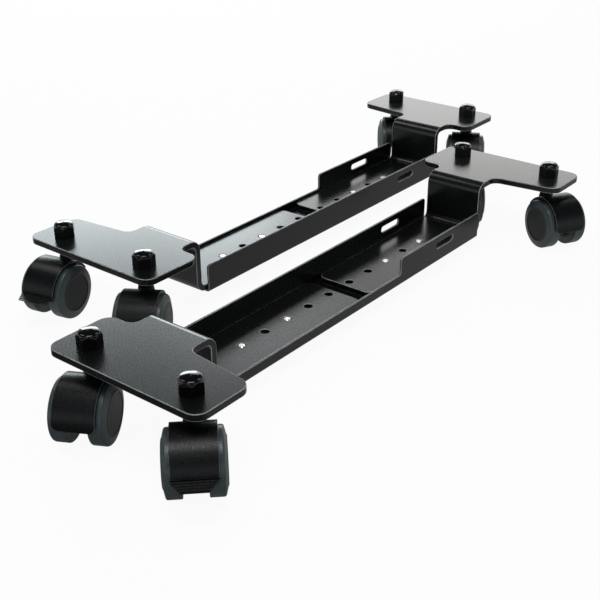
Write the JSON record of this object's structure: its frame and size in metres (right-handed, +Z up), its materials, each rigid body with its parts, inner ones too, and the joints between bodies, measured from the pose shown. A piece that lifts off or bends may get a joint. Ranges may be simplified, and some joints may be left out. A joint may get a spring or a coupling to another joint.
{
  "type": "piano dolly carrier pair",
  "caption": "Pair of low piano dollies: a long sheet channel with a stepped end bracket slid into each end, standing on twin wheel castors that swivel and can be braked.",
  "frame": {"origin": "on the ground, in the middle of the footprint of the pair", "axes": "+X along the channels towards the strap slots, +Y from the front carrier to the rear carrier, +Z up"},
  "size_m": [0.7392, 0.353, 0.0829],
  "materials": {
    "black_powder_coat": "fine-textured satin black powder coat on steel",
    "zinc_plate": "bright zinc plate",
    "gloss_black_cap": "glossy black plastic",
    "castor_body_plastic": "matt black moulded plastic",
    "axle_steel": "plain steel",
    "wheel_tread": "soft blue-grey tread round a black moulded core"
  },
  "bodies": {
    "channels": {"front_channel": "black_powder_coat", "rear_channel": "black_powder_coat"},
    "front_left_end": {"front_left_bracket": "black_powder_coat", "front_left_clamp_screws": "zinc_plate", "front_left_castor_stems": "zinc_plate", "front_left_lock_nuts": "zinc_plate", "front_left_nut_caps": "gloss_black_cap"},
    "front_left_outer_castor": {"front_left_outer_hood": "castor_body_plastic", "front_left_outer_axle": "axle_steel", "front_left_outer_brake_pin": "axle_steel"},
    "front_left_outer_roller_a": {"front_left_outer_wheel_a": "wheel_tread"},
    "front_left_outer_roller_b": {"front_left_outer_wheel_b": "wheel_tread"},
    "front_left_outer_brake": {"front_left_outer_brake_pedal": "castor_body_plastic"},
    "front_left_inner_castor": {"front_left_inner_hood": "castor_body_plastic", "front_left_inner_axle": "axle_steel"},
    "front_left_inner_roller_a": {"front_left_inner_wheel_a": "wheel_tread"},
    "front_left_inner_roller_b": {"front_left_inner_wheel_b": "wheel_tread"},
    "front_right_end": {"front_right_bracket": "black_powder_coat", "front_right_clamp_screws": "zinc_plate", "front_right_castor_stems": "zinc_plate", "front_right_lock_nuts": "zinc_plate", "front_right_nut_caps": "gloss_black_cap"},
    "front_right_outer_castor": {"front_right_outer_hood": "castor_body_plastic", "front_right_outer_axle": "axle_steel"},
    "front_right_outer_roller_a": {"front_right_outer_wheel_a": "wheel_tread"},
    "front_right_outer_roller_b": {"front_right_outer_wheel_b": "wheel_tread"},
    "front_right_inner_castor": {"front_right_inner_hood": "castor_body_plastic", "front_right_inner_axle": "axle_steel"},
    "front_right_inner_roller_a": {"front_right_inner_wheel_a": "wheel_tread"},
    "front_right_inner_roller_b": {"front_right_inner_wheel_b": "wheel_tread"},
    "rear_left_end": {"rear_left_bracket": "black_powder_coat", "rear_left_clamp_screws": "zinc_plate", "rear_left_castor_stems": "zinc_plate", "rear_left_lock_nuts": "zinc_plate", "rear_left_nut_caps": "gloss_black_cap"},
    "rear_left_outer_castor": {"rear_left_outer_hood": "castor_body_plastic", "rear_left_outer_axle": "axle_steel", "rear_left_outer_brake_pin": "axle_steel"},
    "rear_left_outer_roller_a": {"rear_left_outer_wheel_a": "wheel_tread"},
    "rear_left_outer_roller_b": {"rear_left_outer_wheel_b": "wheel_tread"},
    "rear_left_outer_brake": {"rear_left_outer_brake_pedal": "castor_body_plastic"},
    "rear_left_inner_castor": {"rear_left_inner_hood": "castor_body_plastic", "rear_left_inner_axle": "axle_steel"},
    "rear_left_inner_roller_a": {"rear_left_inner_wheel_a": "wheel_tread"},
    "rear_left_inner_roller_b": {"rear_left_inner_wheel_b": "wheel_tread"},
    "rear_right_end": {"rear_right_bracket": "black_powder_coat", "rear_right_clamp_screws": "zinc_plate", "rear_right_castor_stems": "zinc_plate", "rear_right_lock_nuts": "zinc_plate", "rear_right_nut_caps": "gloss_black_cap"},
    "rear_right_outer_castor": {"rear_right_outer_hood": "castor_body_plastic", "rear_right_outer_axle": "axle_steel"},
    "rear_right_outer_roller_a": {"rear_right_outer_wheel_a": "wheel_tread"},
    "rear_right_outer_roller_b": {"rear_right_outer_wheel_b": "wheel_tread"},
    "rear_right_inner_castor": {"rear_right_inner_hood": "castor_body_plastic", "rear_right_inner_axle": "axle_steel"},
    "rear_right_inner_roller_a": {"rear_right_inner_wheel_a": "wheel_tread"},
    "rear_right_inner_roller_b": {"rear_right_inner_wheel_b": "wheel_tread"}
  },
  "joints": [
    {"name": "front_left_length", "type": "slide", "parent": "channels", "child": "front_left_end", "axis": [-1, 0, 0], "range_m": [-0.0014, 0.0276]},
    {"name": "front_left_outer_swivel", "type": "hinge", "parent": "front_left_end", "child": "front_left_outer_castor", "pos_m": [-0.31845, -0.12655, 0.055], "axis": [0, 0, 1], "continuous": true},
    {"name": "front_left_outer_wheel_a_spin", "type": "hinge", "parent": "front_left_outer_castor", "child": "front_left_outer_roller_a", "pos_m": [-0.34395, -0.12893, 0.025], "axis": [0.6947, -0.7193, 0], "continuous": true},
    {"name": "front_left_outer_wheel_b_spin", "type": "hinge", "parent": "front_left_outer_castor", "child": "front_left_outer_roller_b", "pos_m": [-0.32172, -0.15195, 0.025], "axis": [0.6947, -0.7193, 0], "continuous": true},
    {"name": "front_left_outer_brake_press", "type": "hinge", "parent": "front_left_outer_castor", "child": "front_left_outer_brake", "pos_m": [-0.34168, -0.14898, 0.0336], "axis": [0.6947, -0.7193, 0], "range_deg": [0, 7.5]},
    {"name": "front_left_inner_swivel", "type": "hinge", "parent": "front_left_end", "child": "front_left_inner_castor", "pos_m": [-0.31845, -0.02285, 0.055], "axis": [0, 0, 1], "continuous": true},
    {"name": "front_left_inner_wheel_a_spin", "type": "hinge", "parent": "front_left_inner_castor", "child": "front_left_inner_roller_a", "pos_m": [-0.34366, -0.01833, 0.025], "axis": [0.4772, -0.8788, 0], "continuous": true},
    {"name": "front_left_inner_wheel_b_spin", "type": "hinge", "parent": "front_left_inner_castor", "child": "front_left_inner_roller_b", "pos_m": [-0.32839, -0.04645, 0.025], "axis": [0.4772, -0.8788, 0], "continuous": true},
    {"name": "front_right_length", "type": "slide", "parent": "channels", "child": "front_right_end", "axis": [1, 0, 0], "range_m": [-0.0059, 0.0231]},
    {"name": "front_right_outer_swivel", "type": "hinge", "parent": "front_right_end", "child": "front_right_outer_castor", "pos_m": [0.21825, -0.12655, 0.055], "axis": [0, 0, 1], "continuous": true},
    {"name": "front_right_outer_wheel_a_spin", "type": "hinge", "parent": "front_right_outer_castor", "child": "front_right_outer_roller_a", "pos_m": [0.19439, -0.13587, 0.025], "axis": [0.866, -0.5, 0], "continuous": true},
    {"name": "front_right_outer_wheel_b_spin", "type": "hinge", "parent": "front_right_outer_castor", "child": "front_right_outer_roller_b", "pos_m": [0.22211, -0.15187, 0.025], "axis": [0.866, -0.5, 0], "continuous": true},
    {"name": "front_right_inner_swivel", "type": "hinge", "parent": "front_right_end", "child": "front_right_inner_castor", "pos_m": [0.21825, -0.02285, 0.055], "axis": [0, 0, 1], "continuous": true},
    {"name": "front_right_inner_wheel_a_spin", "type": "hinge", "parent": "front_right_inner_castor", "child": "front_right_inner_roller_a", "pos_m": [0.19264, -0.02255, 0.025], "axis": [0.6157, -0.788, 0], "continuous": true},
    {"name": "front_right_inner_wheel_b_spin", "type": "hinge", "parent": "front_right_inner_castor", "child": "front_right_inner_roller_b", "pos_m": [0.21234, -0.04777, 0.025], "axis": [0.6157, -0.788, 0], "continuous": true},
    {"name": "rear_left_length", "type": "slide", "parent": "channels", "child": "rear_left_end", "axis": [-1, 0, 0], "range_m": [-0.0098, 0.0192]},
    {"name": "rear_left_outer_swivel", "type": "hinge", "parent": "rear_left_end", "child": "rear_left_outer_castor", "pos_m": [-0.19585, 0.15035, 0.055], "axis": [0, 0, 1], "continuous": true},
    {"name": "rear_left_outer_wheel_a_spin", "type": "hinge", "parent": "rear_left_outer_castor", "child": "rear_left_outer_roller_a", "pos_m": [-0.21894, 0.16144, 0.025], "axis": [0.225, -0.9744, 0], "continuous": true},
    {"name": "rear_left_outer_wheel_b_spin", "type": "hinge", "parent": "rear_left_outer_castor", "child": "rear_left_outer_roller_b", "pos_m": [-0.21174, 0.13026, 0.025], "axis": [0.225, -0.9744, 0], "continuous": true},
    {"name": "rear_left_outer_brake_press", "type": "hinge", "parent": "rear_left_outer_castor", "child": "rear_left_outer_brake", "pos_m": [-0.22731, 0.14309, 0.0336], "axis": [0.225, -0.9744, 0], "range_deg": [0, 7.5]},
    {"name": "rear_left_inner_swivel", "type": "hinge", "parent": "rear_left_end", "child": "rear_left_inner_castor", "pos_m": [-0.19585, 0.04665, 0.055], "axis": [0, 0, 1], "continuous": true},
    {"name": "rear_left_inner_wheel_a_spin", "type": "hinge", "parent": "rear_left_inner_castor", "child": "rear_left_inner_roller_a", "pos_m": [-0.22134, 0.04918, 0.025], "axis": [0.5446, -0.8387, 0], "continuous": true},
    {"name": "rear_left_inner_wheel_b_spin", "type": "hinge", "parent": "rear_left_inner_castor", "child": "rear_left_inner_roller_b", "pos_m": [-0.20391, 0.02234, 0.025], "axis": [0.5446, -0.8387, 0], "continuous": true},
    {"name": "rear_right_length", "type": "slide", "parent": "channels", "child": "rear_right_end", "axis": [1, 0, 0], "range_m": [-0.0043, 0.0247]},
    {"name": "rear_right_outer_swivel", "type": "hinge", "parent": "rear_right_end", "child": "rear_right_outer_castor", "pos_m": [0.34765, 0.15035, 0.055], "axis": [0, 0, 1], "continuous": true},
    {"name": "rear_right_outer_wheel_a_spin", "type": "hinge", "parent": "rear_right_outer_castor", "child": "rear_right_outer_roller_a", "pos_m": [0.32204, 0.14975, 0.025], "axis": [0.6428, -0.766, 0], "continuous": true},
    {"name": "rear_right_outer_wheel_b_spin", "type": "hinge", "parent": "rear_right_outer_castor", "child": "rear_right_outer_roller_b", "pos_m": [0.34261, 0.12524, 0.025], "axis": [0.6428, -0.766, 0], "continuous": true},
    {"name": "rear_right_inner_swivel", "type": "hinge", "parent": "rear_right_end", "child": "rear_right_inner_castor", "pos_m": [0.34765, 0.04665, 0.055], "axis": [0, 0, 1], "continuous": true},
    {"name": "rear_right_inner_wheel_a_spin", "type": "hinge", "parent": "rear_right_inner_castor", "child": "rear_right_inner_roller_a", "pos_m": [0.32233, 0.05051, 0.025], "axis": [0.5, -0.866, 0], "continuous": true},
    {"name": "rear_right_inner_wheel_b_spin", "type": "hinge", "parent": "rear_right_inner_castor", "child": "rear_right_inner_roller_b", "pos_m": [0.33833, 0.02279, 0.025], "axis": [0.5, -0.866, 0], "continuous": true}
  ]
}
